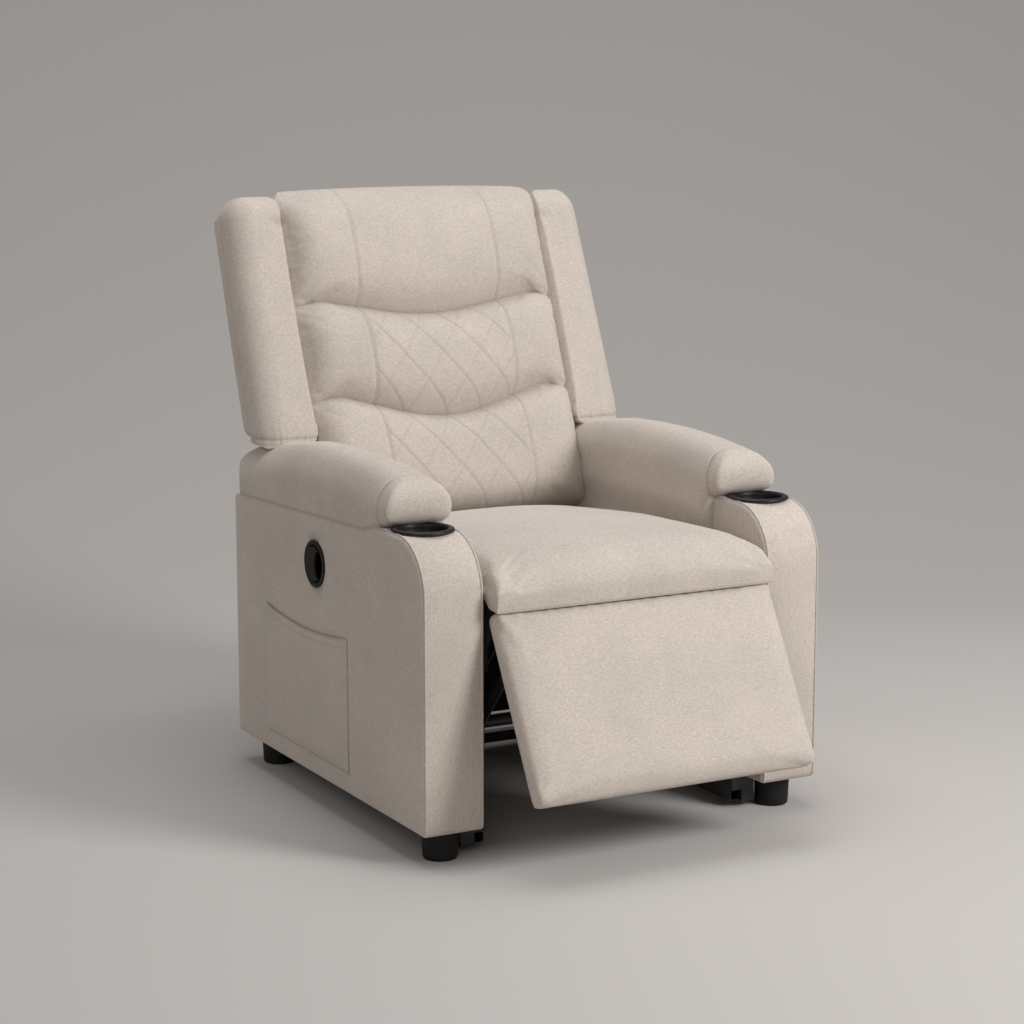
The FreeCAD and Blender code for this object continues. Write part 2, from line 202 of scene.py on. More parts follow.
def subdivide(ob):
    m = ob.modifiers.new("u", "SUBSURF")
    m.levels = m.render_levels = 1
    return bake(ob)


def relax(ob, n):
    s = ob.modifiers.new("s", "SMOOTH")
    s.factor, s.iterations = 0.5, n
    return bake(ob)


STIFF, SHEAR, BEND = 12, 6, 0.4     # the cover cloth's springs


def inflate(ob, cap, pressure, frames, pin):
    """Cloth under pressure: the skin swells away from its board; cap limits each point, mm."""
    start = co_of(ob)
    g = ob.vertex_groups.new(name="pin")
    for i, w in enumerate(pin(start)):
        if w > 0.01:
            g.add([i], float(min(w, 1)), "REPLACE")
    m = ob.modifiers.new("c", "CLOTH")
    s = m.settings
    s.quality, s.mass = 4, 0.25
    s.use_pressure, s.uniform_pressure_force = True, pressure
    s.tension_stiffness = s.compression_stiffness = STIFF
    s.shear_stiffness, s.bending_stiffness = SHEAR, BEND
    s.effector_weights.gravity = 0
    m.collision_settings.use_collision = False
    s.vertex_group_mass, s.pin_stiffness = "pin", 2.0
    m.point_cache.frame_start, m.point_cache.frame_end = 1, frames
    for f in range(1, frames + 1):
        scene.frame_set(f)
    dg = bpy.context.evaluated_depsgraph_get()
    me = ob.evaluated_get(dg).to_mesh()
    c = np.empty(len(me.vertices) * 3)
    me.vertices.foreach_get("co", c)
    c = c.reshape(-1, 3) * 1000 - OFF
    ob.modifiers.clear()
    ob.vertex_groups.clear()
    scene.frame_set(1)
    d = c - start
    ln = np.linalg.norm(d, axis=1)
    k = cap * np.tanh(ln / cap) / (ln + 1e-9)
    set_co(ob, start + d * k[:, None])
    return ob


def paint_seam_shade(ob, value):
    """Per-point seam value: painted shade, 0..1, that deepens the fabric's colour along seams and
    creases to stand in for the shade that falls in them.
    """
    a = ob.data.attributes.get("seam") or ob.data.attributes.new("seam", "FLOAT", "POINT")
    a.data.foreach_set("value", np.clip(value, 0, 1).astype(np.float32))


def smoothed(ob):
    ob.data.shade_smooth()
    return ob


def to_other_side(ob):
    c = co_of(ob)
    c[:, 0] *= -1
    set_co(ob, c)
    ob.data.flip_normals()
    return ob


def mirrored(ob, name):
    new = bpy.data.objects.new(name, ob.data.copy())
    scene.collection.objects.link(new)
    return to_other_side(new)


def rounding(a, b, r):
    """How much of (a, b) is left once points past a corner of radius r are pulled in to it."""
    n = np.hypot(a, b)
    return np.where(n > r, r / np.maximum(n, 1e-6), 1)


def round_corner(l, x1, v1, r):
    """Pulls points in to a ball of radius r at the outer, upper, front corner.

    l is (x, up, rearward); x1 and v1 are its outer and upper faces.
    """
    a = np.maximum(0, l[:, 0] - (x1 - r))
    b = np.maximum(0, l[:, 1] - (v1 - r))
    d = np.maximum(0, r - l[:, 2])
    n = np.sqrt(a * a + b * b + d * d)
    k = np.where(n > r, r / np.maximum(n, 1e-6), 1)
    l[:, 0] -= a * (1 - k)
    l[:, 1] -= b * (1 - k)
    l[:, 2] += d * (1 - k)
    return l


def gauss(d, w):
    return np.exp(-(d / w) ** 2)


def wob(c, seed, k=0.01):
    """Small smooth irregularity, -1..1."""
    r = np.random.default_rng(seed)
    out = np.zeros(len(c))
    for _ in range(5):
        out += np.sin(c @ r.normal(0, k, 3) + r.uniform(0, 6.28))
    return out / 5


def lathe(name, prof, centre, n):
    """Turned form from (radius, height) points, its ends on the axis."""
    verts, faces, m = [], [], len(prof)
    for i in range(n):
        a = 2 * pi * i / n
        for r, h in prof:
            verts.append((centre[0] + r * cos(a), centre[1] + r * sin(a), centre[2] + h))
    for i in range(n):
        for j in range(m - 1):
            a, b = i * m + j, ((i + 1) % n) * m + j
            faces.append((a, b, b + 1, a + 1))
    ob = make(name, verts, faces)
    bm = bmesh.new()
    bm.from_mesh(ob.data)
    bmesh.ops.remove_doubles(bm, verts=bm.verts, dist=2e-5)
    bmesh.ops.recalc_face_normals(bm, faces=bm.faces)
    bm.to_mesh(ob.data)
    bm.free()
    return smoothed(ob)


def tube(name, pts, r, body, mat):
    """Thin round bead along working-frame points."""
    cu = bpy.data.curves.new(name, "CURVE")
    cu.dimensions, cu.bevel_depth, cu.bevel_resolution = "3D", r / 1000, 2
    cu.use_fill_caps = True
    sp = cu.splines.new("POLY")
    sp.points.add(len(pts) - 1)
    for q, c in zip(sp.points, (np.asarray(pts, float) + OFF) / 1000):
        q.co = (*c, 1)
    tmp = bpy.data.objects.new(name + "_c", cu)
    scene.collection.objects.link(tmp)
    dg = bpy.context.evaluated_depsgraph_get()
    me = bpy.data.meshes.new_from_object(tmp.evaluated_get(dg))
    bpy.data.objects.remove(tmp)
    ob = bpy.data.objects.new(name, me)
    scene.collection.objects.link(ob)
    smoothed(ob)
    dress(ob, mat)
    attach(ob, body)
    return ob


# ---- materials
def new_mat(name):
    m = bpy.data.materials.new(name)
    m.use_nodes = True
    nt = m.node_tree
    return m, nt, nt.nodes["Principled BSDF"]


def node(nt, kind, **kw):
    n = nt.nodes.new(kind)
    for k, v in kw.items():
        if k in n.inputs:
            n.inputs[k].default_value = v
        else:
            setattr(n, k, v)
    return n


def ramp(nt, src, stops):
    r = nt.nodes.new("ShaderNodeValToRGB")
    e = r.color_ramp.elements
    while len(e) < len(stops):
        e.new(0.5)
    for el, (p, c) in zip(e, stops):
        el.position, el.color = p, (*c, 1)
    nt.links.new(src, r.inputs[0])
    return r


def noise(nt, vec, scale, detail=2, rough=0.5):
    n = node(nt, "ShaderNodeTexNoise", Scale=scale, Detail=detail, Roughness=rough)
    nt.links.new(vec, n.inputs["Vector"])
    return n


def mathn(nt, op, a, b):
    n = nt.nodes.new("ShaderNodeMath")
    n.operation = op
    for i, v in enumerate((a, b)):
        if isinstance(v, (int, float)):
            n.inputs[i].default_value = v
        else:
            nt.links.new(v, n.inputs[i])
    return n.outputs[0]


def linen():
    """Heathered plain weave: slubs along and across the cloth, fine speckle, soft sheen, and painted
    shade along seams and creases.
    """
    m, nt, b = new_mat("linen_weave")
    tc = nt.nodes.new("ShaderNodeTexCoord")
    L = nt.links

    def stretched(sx, sy, sz):
        mp = nt.nodes.new("ShaderNodeMapping")
        mp.inputs["Scale"].default_value = (sx, sy, sz)
        L.new(tc.outputs["Object"], mp.inputs["Vector"])
        return mp.outputs["Vector"]
    weft = noise(nt, stretched(160, 160, 900), 1.0, 3, 0.6)
    warp = noise(nt, stretched(800, 800, 130), 1.0, 3, 0.6)
    speck = noise(nt, stretched(420, 420, 420), 1.0, 3, 0.75)
    patch = noise(nt, stretched(9, 9, 9), 1.0, 3, 0.55)
    seam = node(nt, "ShaderNodeAttribute", attribute_name="seam")
    mixed = mathn(nt, "ADD", mathn(nt, "MULTIPLY", weft.outputs["Fac"], 0.4),
                  mathn(nt, "ADD", mathn(nt, "MULTIPLY", warp.outputs["Fac"], 0.3),
                        mathn(nt, "MULTIPLY", speck.outputs["Fac"], 0.3)))
    col = ramp(nt, mixed, [(0.36, (0.43, 0.375, 0.33)), (0.5, (0.56, 0.50, 0.452)),
                           (0.64, (0.685, 0.625, 0.575))])
    tone = ramp(nt, patch.outputs["Fac"], [(0.3, (0.93, 0.93, 0.93)), (0.7, (1.03, 1.02, 1.0))])
    mul = node(nt, "ShaderNodeMix", data_type="RGBA", blend_type="MULTIPLY")
    mul.inputs[0].default_value = 1
    L.new(col.outputs["Color"], mul.inputs[6])
    L.new(tone.outputs["Color"], mul.inputs[7])
    # painted shade: the seam attribute mixes the weave's colour towards deep brown (0.27, 0.22, 0.18),
    # at up to 0.55, standing in for the shade in seams and creases
    dark = node(nt, "ShaderNodeMix", data_type="RGBA")
    L.new(mathn(nt, "MULTIPLY", seam.outputs["Fac"], 0.55), dark.inputs[0])
    L.new(mul.outputs[2], dark.inputs[6])
    dark.inputs[7].default_value = (0.27, 0.22, 0.18, 1)
    L.new(dark.outputs[2], b.inputs["Base Color"])
    b.inputs["Roughness"].default_value = 0.92
    b.inputs["Sheen Weight"].default_value = 0.25
    b.inputs["Sheen Roughness"].default_value = 0.5
    b.inputs["Specular IOR Level"].default_value = 0.2
    lumps = noise(nt, stretched(60, 60, 60), 1.0, 2)
    h = mathn(nt, "ADD", mixed, mathn(nt, "MULTIPLY", lumps.outputs["Fac"], 0.5))
    bump = node(nt, "ShaderNodeBump", Strength=0.35, Distance=0.0007)
    L.new(h, bump.inputs["Height"])
    L.new(bump.outputs["Normal"], b.inputs["Normal"])
    return m


def grey(low, high):
    return (low,) * 3, (high,) * 3


def plain(name, low, high, rough, scale, metal=0.0, spec=0.5, bump=0.15, stretch=(1, 1, 1)):
    """Moulded plastic, powder coat, wood or cloth from two tones, a scale and a grain direction."""
    m, nt, b = new_mat(name)
    tc = nt.nodes.new("ShaderNodeTexCoord")
    mp = nt.nodes.new("ShaderNodeMapping")
    mp.inputs["Scale"].default_value = stretch
    nt.links.new(tc.outputs["Object"], mp.inputs["Vector"])
    a = noise(nt, mp.outputs["Vector"], scale, 4, 0.6)
    c = ramp(nt, a.outputs["Fac"], [(0.35, low), (0.65, high)])
    nt.links.new(c.outputs["Color"], b.inputs["Base Color"])
    r = nt.nodes.new("ShaderNodeMapRange")
    nt.links.new(a.outputs["Fac"], r.inputs["Value"])
    r.inputs["To Min"].default_value = rough - 0.07
    r.inputs["To Max"].default_value = rough + 0.07
    nt.links.new(r.outputs["Result"], b.inputs["Roughness"])
    b.inputs["Metallic"].default_value = metal
    b.inputs["Specular IOR Level"].default_value = spec
    bp = node(nt, "ShaderNodeBump", Strength=bump, Distance=0.0003)
    nt.links.new(a.outputs["Fac"], bp.inputs["Height"])
    nt.links.new(bp.outputs["Normal"], b.inputs["Normal"])
    return m


FABRIC = linen()
PLASTIC = plain("satin_black_plastic", (0.006, 0.006, 0.0065), (0.012, 0.012, 0.0125), 0.42, 500,
                spec=0.35)
FOOT = plain("matt_black_plastic", *grey(0.007, 0.014), 0.62, 400, spec=0.25)
STEEL = plain("black_powder_coat", (0.012, 0.012, 0.013), (0.022, 0.022, 0.023), 0.42, 900, bump=0.3)
PIN = plain("zinc_plated_steel", (0.42, 0.42, 0.43), (0.58, 0.58, 0.60), 0.3, 300, metal=1.0)
WOOD = plain("pine_and_plywood", (0.42, 0.28, 0.15), (0.62, 0.45, 0.27), 0.62, 14, bump=0.25,
             stretch=(6, 1, 6))
BOARD = plain("black_painted_board", (0.012, 0.012, 0.012), (0.026, 0.025, 0.024), 0.6, 40, bump=0.25,
              stretch=(6, 1, 6))
CLOTH = plain("black_nonwoven", *grey(0.012, 0.03), 0.9, 700, spec=0.2, bump=0.5)
BY_SLOT = {"upholstery": FABRIC, "timber": WOOD, "black_board": BOARD, "black_plastic": PLASTIC,
           "foot_plastic": FOOT, "black_steel": STEEL, "pin_steel": PIN, "black_cloth": CLOTH}
SLOT_OF = {s["node"]: s["material_slot"] for s in frame["record"]["subparts"]}


def dress(ob, mat):
    ob.data.materials.clear()
    ob.data.materials.append(mat)


for name, ob in NODES.items():
    dress(ob, BY_SLOT[SLOT_OF[name]])
dress(NODES["paddle_pin"], STEEL)
dress(NODES["handle_bezel"], FOOT)
dress(NODES["release_paddle"], FOOT)


def place(ob, body, *nodes, mat=FABRIC, slot="upholstery", fill=None):
    """Dresses a piece, puts it on its body and hides the nodes it stands for."""
    dress(ob, mat)
    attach(ob, body)
    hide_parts(*nodes)
    return ob


# ---- arm body: boxed side panels and a wrapped front and top strip between two corded edges
# outlines are (y, z, corner radius)
arm_prof = [(0, ARM_BASE, 3), (0, ARM_TOP, 92), (172, ARM_TOP, 20), (215, 525, 20), (ARM_D, 505, 5),
            (ARM_D, ARM_BASE, 3)]


def arm_body(name):
    p = resample(rounded(arm_prof, 14), 9.0)
    nrm = inward(p)
    r, flat = 7.0, []
    for k in np.linspace(0, pi / 2, 5):
        flat.append((ARM_IN + r * (1 - sin(k)), r * (1 - cos(k))))
    flat = flat[::-1]
    for x in np.linspace(ARM_IN + 14, HALF_W - 14, 9):
        flat.append((x, 0))
    for k in np.linspace(0, pi / 2, 5):
        flat.append((HALF_W - r * (1 - sin(k)), r * (1 - cos(k))))
    m, verts, faces = len(p), [], []
    mid = (ARM_IN + HALF_W) / 2
    for x, d in flat:
        inset = np.full(m, float(d))
        if d == 0:
            # the front strip is a little fuller along its middle
            bow = 3.2 * (1 - min(1, abs(x - mid) / 50) ** 3)
            inset[(p[:, 0] < 140) & (p[:, 1] > ARM_BASE + 15)] = -bow
        verts += [(x, a, b) for a, b in p + nrm * inset[:, None]]
    for i in range(len(flat) - 1):
        faces += ring(i * m, (i + 1) * m, m)
    # side faces as shrinking rings, so that they can swell a little
    c = np.array([380.0, 290.0])
    for (x, d), prev, swell in ((flat[0], 0, -1.5), (flat[-1], (len(flat) - 1) * m, 4.0)):
        q0 = p + nrm * d
        for t in (0.08, 0.2, 0.4, 0.65, 0.9):
            s = len(verts)
            q = q0 + (c - q0) * t
            out = swell * sin(min(t * 2.2, 1) * pi / 2)
            verts += [(x + out * 0.35, a, b) for a, b in q]
            faces += ring(prev, s, m)
            prev = s
        faces.append(tuple(range(prev, prev + m)))
    return make(name, verts, faces)


def combine(ob, tool, how):
    m = ob.modifiers.new("b", "BOOLEAN")
    m.operation, m.object, m.solver = how, tool, "EXACT"
    bpy.context.view_layer.update()
    bake(ob)
    bpy.data.objects.remove(tool)
    return ob


def cut_round(ob, centre, r, depth, axis):
    """Cuts a round hole of radius r, depth long in all, along z or x."""
    bpy.ops.mesh.primitive_cylinder_add(vertices=96, radius=r / 1000, depth=depth / 1000)
    t = bpy.context.object
    if axis == "x":
        t.rotation_euler = (0, pi / 2, 0)
    t.location = (np.array(centre) + OFF) / 1000
    return combine(ob, t, "DIFFERENCE")


def edge_line(x, lift):
    """Points along the front and top edge of the arm at x."""
    p = resample(rounded(arm_prof, 14), 6.0)
    n = inward(p)
    front, top = p[:, 0] < 1.5, p[:, 1] > 440
    q = (p - n * lift)[(front | top) & (p[:, 0] < 215) & (p[:, 1] > ARM_BASE + 4)]
    o = np.argsort(np.where(q[:, 1] < 440, q[:, 1], 440 + q[:, 0] * 4 + (q[:, 1] - 440)))
    return [(x, a, b) for a, b in q[o]]


for side, tag in ((1, "left"), (-1, "right")):
    ob = arm_body("arm_cover_" + tag)
    if side < 0:
        to_other_side(ob)
    cut_round(ob, (side * CUP[0], CUP[1], ARM_TOP - 30), CUP_CUT, 120, "z")
    if side < 0:
        cut_round(ob, HANDLE, HANDLE_CUT, 60, "x")
    smoothed(ob)
    place(ob, "base", "arm_outer_panel_" + tag, "arm_inner_shell_" + tag, "arm_front_cover_" + tag)
    for k, x in enumerate((HALF_W - 5.5, ARM_IN + 5.5)):
        tube("arm_cord_%s_%d" % (tag, k), edge_line(side * x, 0.2), 1.7, "base", FABRIC)

# ---- arm pads
pad_prof = [(162, 440, 10), (162, 541, 6), (142, 542, 6), (129, 552, 12), (131, 614, 38),
            (210, 624, 120), (350, 633, 300), (530, 628, 300), (640, 610, 200), (716, 603, 60),
            (772, 588, 60), (772, 478, 8), (648, 470, 8), (640, 440, 8)]
pad = bolster("arm_pad_cover_left", pad_prof, 256, 386, 8, 8)
remesh(pad, 6, 4)
inflate(pad, 8, pressure=3.0, frames=14, pin=lambda c: np.clip((520 - c[:, 2]) / 15, 0, 1))


PAD_CREST = ([125, 150, 200, 260, 350, 440, 530, 640, 716, 745, 775],
             [606, 616, 622, 628, 632, 632, 628, 612, 602, 598, 594])


def pad_seam(y):
    """Height of the long seam between pad and arm."""
    return np.interp(y, [172, 215, 773], [537, 525, 505])


def finish_pad(ob):
    """Rounds the pad over its crest and at both ends, and sews its seams."""
    c = co_of(ob)
    x, y, z = c.T.copy()
    # the sides stay flush with the arm's faces near the long seam
    near = np.clip(1 - (z - pad_seam(y)) / 26, 0, 1)
    inner = 254 + 11 * np.clip((515 - z) / 40, 0, 1)
    x = np.where(x > 330, np.minimum(x, 387.5 - 3.0 * near), np.maximum(x, inner))
    crest = np.interp(y, *PAD_CREST)
    for x1, out, r in ((387.5, 1, 62.0), (254.0, -1, 56.0)):
        a, b = np.maximum(0, out * (x - x1) + r), np.maximum(0, z - (crest - r))
        k = rounding(a, b, r)
        x, z = x - out * a * (1 - k), z - b * (1 - k)
        for y1, way, r2 in ((124.0, -1, 26.0), (774.0, 1, 40.0)):
            a, b = np.maximum(0, out * (x - x1) + r2), np.maximum(0, way * (y - y1) + r2)
            k = rounding(a, b, r2)
            x, y = x - out * a * (1 - k), y - way * b * (1 - k)
    set_co(ob, np.stack([x, y, z], 1))
    relax(ob, 6)
    subdivide(ob)
    c = co_of(ob)
    x, y, z = c.T
    seam_z = pad_seam(y)
    # front panel seam: an arch set back from the nose
    d = (y - 160) - 14 * np.clip((z - 560) / 50, 0, 1) ** 1.6
    band = (y < 262) & (z > 530)
    g = gauss(d, 2.6) * band
    c -= normals_of(ob) * (g * 2.8)[:, None]
    set_co(ob, c)
    # painted shade along the front arch seam and along the long seam on the outer side
    paint_seam_shade(ob, np.maximum(g * 0.75, gauss(z - seam_z - 2, 3) * 0.9 * (x > 330)))
    return ob


relax(pad, 16)
finish_pad(pad)
smoothed(pad)
pad_r = mirrored(pad, "arm_pad_cover_right")
cut_round(pad_r, HANDLE, HANDLE_CUT, 60, "x")
smoothed(pad_r)
place(pad, "base", "arm_pad_left", fill=0.8)
place(pad_r, "base", "arm_pad_right", fill=0.8)

# ---- seat
seat_prof = [(-2, 424, 2), (-31, 423, 2), (-37, 462, 40), (-22, 491, 40), (60, 493, 200),
             (290, 489, 400), (500, 470, 200), (600, 458, 40), (622, 438, 20), (640, 409, 5),
             (188, 427, 4), (184, 436, 3), (34, 436, 4), (18, 429, 4)]
seat = bolster("seat_cover", seat_prof, -267, 267, 12)
remesh(seat, 6, 2)


def under(c):
    """How far each point is held by the board below the cushion, 0..1."""
    return np.clip((444 - c[:, 2] - np.clip(c[:, 1], 0, 640) * 0.03) / 10, 0, 1)


inflate(seat, 15, pressure=3.0, frames=14, pin=under)
c = co_of(seat)
x, y, z = c.T
top = np.clip((z - 440) / 30, 0, 1)
fall = (18 + 10 * np.clip(y / 500, 0, 1)) * (np.abs(x) / 267) ** 2.6
z = z - fall * top + 2 * top
# the nose runs straight down on to the footrest's top edge
lip = np.clip((446 - z) / 14, 0, 1) * np.clip((6 - y) / 12, 0, 1)
y_nose = np.interp(z, [418, 440, 462], [-29.2, -34, -38])
y = np.where(y < -8, y + (y_nose - y) * lip, y)
square = np.clip((np.abs(x) - 244) / 14, 0, 1) * np.clip((462 - z) / 16, 0, 1) * (y < 12)
x = x + np.sign(x) * square * np.maximum(0, 266.5 - np.abs(x)) * 0.85
z = z - 7 * lip
# behind the back's front plane the cushion is tucked under
limit = 610 - (np.clip(z, 430, 600) - 466) * -0.404 - 52
y = np.where((z > 424) & (y > limit) & (y > 540), limit - 2, y)
set_co(seat, np.stack([x, y, z], 1))
subdivide(seat)
c = co_of(seat)
# painted shade in the seam along the foot of the nose, where the seat meets the footrest
paint_seam_shade(seat, gauss(c[:, 2] - 416, 4) * (c[:, 1] < 10) * 0.9)
smoothed(seat)
place(seat, "base", "seat_cushion", fill=0.75)

# ---- back pillows
UPRIGHT_X = 146.0                       # the upright seams, from the middle plane
PILLOW_HALF = 284
QUILT_PITCH, QUILT_SLOPE = 79.0, 1.32   # across the width; rise over run
LINE_PITCH = QUILT_PITCH * QUILT_SLOPE / hypot(QUILT_SLOPE, 1)


def seam_dip(x, deep):
    """Bow of a cross seam: low in the middle, a hump and a small drop towards each end."""
    a = np.abs(x)
    u = np.clip(a / 208, 0, 1)
    d = -deep * ((1 + np.cos(pi * u)) / 2) ** 0.72
    return d + 4.0 * gauss(a - 215, 26) - 4.0 * np.clip((a - 235) / 37, 0, 1) ** 1.5


def upper_seam(x):
    return seam_dip(x, 28)


def lower_seam(x):
    return seam_dip(x, 45)


def straight(x):
    return 0.0 * x


def head_top(x):
    return -7.0 * (np.abs(x) / 272) ** 2.2


def to_back(c):
    """(x, up, rearward) of working-frame points."""
    q = c[:, 1:] - BACK_FOOT
    return np.stack([c[:, 0], q @ UPV, q @ REARV], 1)


def from_back(l):
    return np.column_stack([l[:, 0], BACK_FOOT + l[:, 1:2] * UPV + l[:, 2:3] * REARV])


def held_behind(w, length):
    """Pin weights that hold the skin from w mm rearward on, over a run of length mm."""
    return lambda c: np.clip((to_back(c)[:, 2] - w) / length, 0, 1)


def pillow(name, v0, v1, dip0, dip1, cap, quilt, seed, top_r=14, end_x=279):
    """One section of the back, from v0 to v1 up it; dip0 and dip1 bow its cross seams."""
    prof = [bk(v0, 4, 14), bk(v1, 4, top_r), bk(v1, 61.0, 8), bk(v0, 61.0, 8)]
    ob = bolster(name, prof, -PILLOW_HALF, PILLOW_HALF, 14)
    remesh(ob, 6, 4)
    inflate(ob, cap, pressure=3.4, frames=14, pin=held_behind(40, 15))
    subdivide(ob)
    l = to_back(co_of(ob))
    x, v, w = l.T
    t = np.clip((v - v0) / (v1 - v0), 0, 1)
    ew = np.clip(1 - w / 60, 0, 1)
    # crown: fullest in the middle of the section, tight at its seams
    crown = np.sin(pi * np.clip(t, 0.001, 0.999)) ** 0.5
    w = w - ew * (crown * 22 - 6)
    # the end seams bow; the whole section follows them
    v = v + dip0(x) * (1 - t) + dip1(x) * t
    # two upright seams divide each section in three
    w = w + 2.4 * (gauss(np.abs(x) - UPRIGHT_X, 3.2) * ew)
    side_puff = gauss(np.abs(x) - 212, 40) * crown * ew
    w = w - 3.0 * side_puff
    # painted shade along the two upright seams
    seam = 0.7 * gauss(np.abs(x) - UPRIGHT_X, 1.7) * (w < 40)
    if quilt:
        inside = np.clip((UPRIGHT_X - np.abs(x)) / 5, 0, 1) * (w < 30)
        line = np.zeros(len(x))
        for sgn, shift, depth in ((1, 20.0, 1.0), (-1, -12.0, 0.5)):
            u = (x * QUILT_SLOPE + sgn * (v - v0)) / hypot(QUILT_SLOPE, 1)
            d = (u + shift + LINE_PITCH / 2) % LINE_PITCH - LINE_PITCH / 2
            line = np.maximum(line, gauss(d, 1.9) * depth)
            w = w - 0.7 * np.cos(d / LINE_PITCH * pi) * inside * ew
        w = w + 1.5 * line * inside
        # painted shade in the quilting lines
        seam = np.maximum(seam, 0.62 * line * inside)
    # small pulls at the ends of the seams
    pull = gauss(np.abs(x) - PILLOW_HALF + 18, 22) * (gauss(v - v0 - dip0(x) - 6, 18)
                                                      + gauss(v1 + dip1(x) - v - 6, 18))
    w = w + 2.2 * pull * np.sin((x * 0.4 + v * 0.9) * 0.35 + seed) * ew
    # the ends dive in beside the wings
    ends = np.clip((np.abs(x) - 212) / 68, 0, 1) ** 2.4
    w = w + 27 * ends * np.clip(1 - w / 45, 0, 1)
    lim = end_x - 10 * np.clip((v - 440) / 40, 0, 1) - 22 * np.clip((v - 462) / 34, 0, 1) ** 2
    x = np.clip(x, -lim, lim)
    set_co(ob, from_back(np.stack([x, v, w], 1)))
    edge = np.minimum(np.abs(v - v0 - dip0(x)), np.abs(v1 + dip1(x) - v))
    # painted shade along the cross seams at the section's ends, with the upright seams and quilting
    # lines
    paint_seam_shade(ob, np.maximum(seam, 0.5 * gauss(edge, 5) * (w > 2)))
    smoothed(ob)
    return ob


head = pillow("head_pillow", 256, 500, upper_seam, head_top, 20, False, 1, top_r=44)
mid = pillow("mid_pillow", 72, 272, lower_seam, upper_seam, 20, True, 2)
lumb = pillow("lumbar_pillow", -150, 89, straight, lower_seam, 18, True, 3, end_x=269)
place(head, "back", "head_cushion", fill=0.8)
place(mid, "back", "mid_cushion", fill=0.8)
place(lumb, "back", "lumbar_cushion", fill=0.8)

# ---- wings
def cut_at(w, r, z=613.0):
    """(y, z, corner radius) where a level cut at z meets the back's plane w rearward."""
    return bk((z - BACK_FOOT[1] - w * REARV[1]) / UPV[1], w, r)


wing_prof = [cut_at(-9, 12, 604), bk(478, -9, 34), bk(478, 68, 8), cut_at(68, 6, 606)]
wing = bolster("wing_cover_left", wing_prof, 267, 380, 22, 9)
remesh(wing, 5, 5)
inflate(wing, 8, pressure=3.4, frames=14, pin=held_behind(48, 12))
subdivide(wing)
c = co_of(wing)
l = round_corner(to_back(c), 384, 487, 54)
t = np.clip(l[:, 1] / 470, 0, 1)
l[:, 0] = 272 + (l[:, 0] - 272) * (1 - 0.10 * t)
c = from_back(l)
low = np.clip(1 - (c[:, 2] - 609) / 55, 0, 1)
gath = (np.sin(c[:, 0] * 0.42 + 1.6 * np.sin(c[:, 0] * 0.11)) * low ** 2
        * np.clip(1 - l[:, 2] / 50, 0, 1))
l[:, 2] += 1.1 * gath * (0.6 + 0.4 * np.sin(c[:, 0] * 0.17 + 0.6)) + 8 * low ** 3
n = gauss(l[:, 1] - 418, 9) * np.clip((300 - c[:, 0]) / 18, 0, 1)
l[:, 2] += 3.5 * n
c = from_back(l)
lip = gauss(c[:, 2] - 617, 2.6)
c -= normals_of(wing) * (lip * 2.0)[:, None]
c[:, 0] = np.clip(c[:, 0], 264, 383)
set_co(wing, c)
# painted shade along the gathered bottom lip and the crease high on the inner edge
paint_seam_shade(wing, np.maximum(0.5 * lip, 0.3 * n))
smoothed(wing)
wing_r = mirrored(wing, "wing_cover_right")
place(wing, "back", "wing_left", fill=0.8)
place(wing_r, "back", "wing_right", fill=0.8)

# ---- rear cover of the back
up_prof = [cut_at(58, 5), bk(463, 58, 8), bk(463, 96, 16), cut_at(96, 10)]
rear = bolster("back_cover", up_prof, -382, 382, 14)
low_prof = [bk(-140, 84, 4), bk(40, 84, 2), bk(40, 96, 4), bk(-140, 96, 6)]
low = bolster("back_cover_low", low_prof, -258, 258, 5)
hi_prof = [bk(420, 58, 4), bk(492, 58, 8), bk(492, 96, 18), bk(420, 96, 4)]
hi = bolster("back_cover_hi", hi_prof, -268, 268, 14)
for t in (low, hi):
    combine(rear, t, "UNION")
remesh(rear, 7, 5)
subdivide(rear)
l = to_back(co_of(rear))
t = np.clip(l[:, 1] / 470, 0, 1)
l[:, 0] *= 1 - 0.028 * t * np.clip((np.abs(l[:, 0]) - 250) / 100, 0, 1)
g = gauss(np.abs(l[:, 0]) - 262, 3.0) * (l[:, 2] > 80)
l[:, 2] = np.where(l[:, 2] > 80, l[:, 2] + 1.5 * wob(l, 5, 0.012) - 2.0 * g, l[:, 2])
set_co(rear, from_back(l))
# painted shade in the groove down each side of the rear cover
paint_seam_shade(rear, 0.5 * g)
smoothed(rear)
place(rear, "back", "back_rear_panel", fill=0.3)

# ---- footrest
rest_prof = [fr(-1, 2, 7), fr(REST_LEN, 2, 12), fr(REST_LEN, 41.5, 6), fr(0, 41.5, 6)]
rest = bolster("footrest_cover", rest_prof, -266.5, 266.5, 11)
remesh(rest, 6, 2)


def rest_uv(c):
    """x, distance down and distance behind the face, of working-frame points."""
    q = c[:, 1:] - REST_TOP
    return c[:, 0], q @ DOWN, -(q @ FRONT)


inflate(rest, 7, pressure=2.6, frames=12, pin=lambda c: np.clip((rest_uv(c)[2] - 18) / 10, 0, 1))
subdivide(rest)
c = co_of(rest)
x, d, e = rest_uv(c)
g = gauss(d - 2, 10) * (e < 16) * np.sin(x * 0.23 + 1.2 * np.sin(x * 0.043))
e = e + 1.4 * g
e = np.minimum(e, 42.0)
set_co(rest, np.column_stack([x, REST_TOP + d[:, None] * DOWN - e[:, None] * FRONT]))
# painted shade along the side and lower seams and along the top edge
paint_seam_shade(rest, 0.45 * gauss(e - 28, 1.8) * ((np.abs(x) > 262) | (d > 320))
     + 0.4 * gauss(d, 5) * (e > 4))
smoothed(rest)
place(rest, "footrest", "footrest_pad", fill=0.7)

